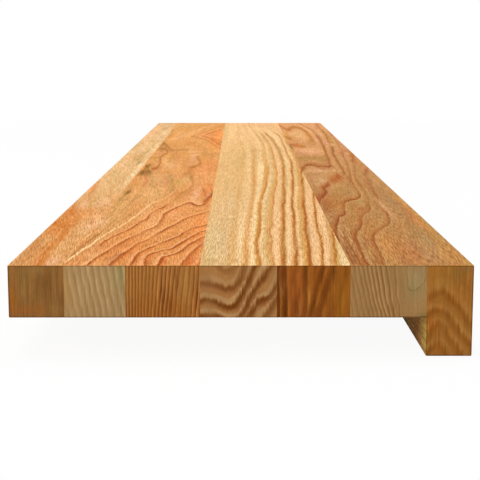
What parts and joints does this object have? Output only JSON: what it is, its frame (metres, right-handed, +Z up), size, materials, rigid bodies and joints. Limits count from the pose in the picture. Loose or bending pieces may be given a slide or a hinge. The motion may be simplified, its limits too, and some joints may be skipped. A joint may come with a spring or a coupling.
{
  "type": "window sill board",
  "caption": "Edge-glued solid-wood window sill board with a full-height drop edge hanging below its room side.",
  "frame": {"origin": "middle of the board's outline in plan, level with the underside of the drop edge", "axes": "+X from the window edge to the room side with the drop edge, +Y along the window, +Z up"},
  "size_m": [0.2, 1, 0.04],
  "materials": {
    "amber_stave": "fine-sanded, clear matt oil",
    "orange_stave": "fine-sanded, clear matt oil",
    "straw_stave": "fine-sanded, clear matt oil",
    "russet_stave": "fine-sanded, clear matt oil"
  },
  "bodies": {
    "root": {"stave_1": "amber_stave", "stave_2": "orange_stave", "stave_3": "orange_stave", "stave_4": "straw_stave", "stave_5": "straw_stave", "stave_6": "russet_stave", "drop_edge": "russet_stave"}
  },
  "joints": []
}
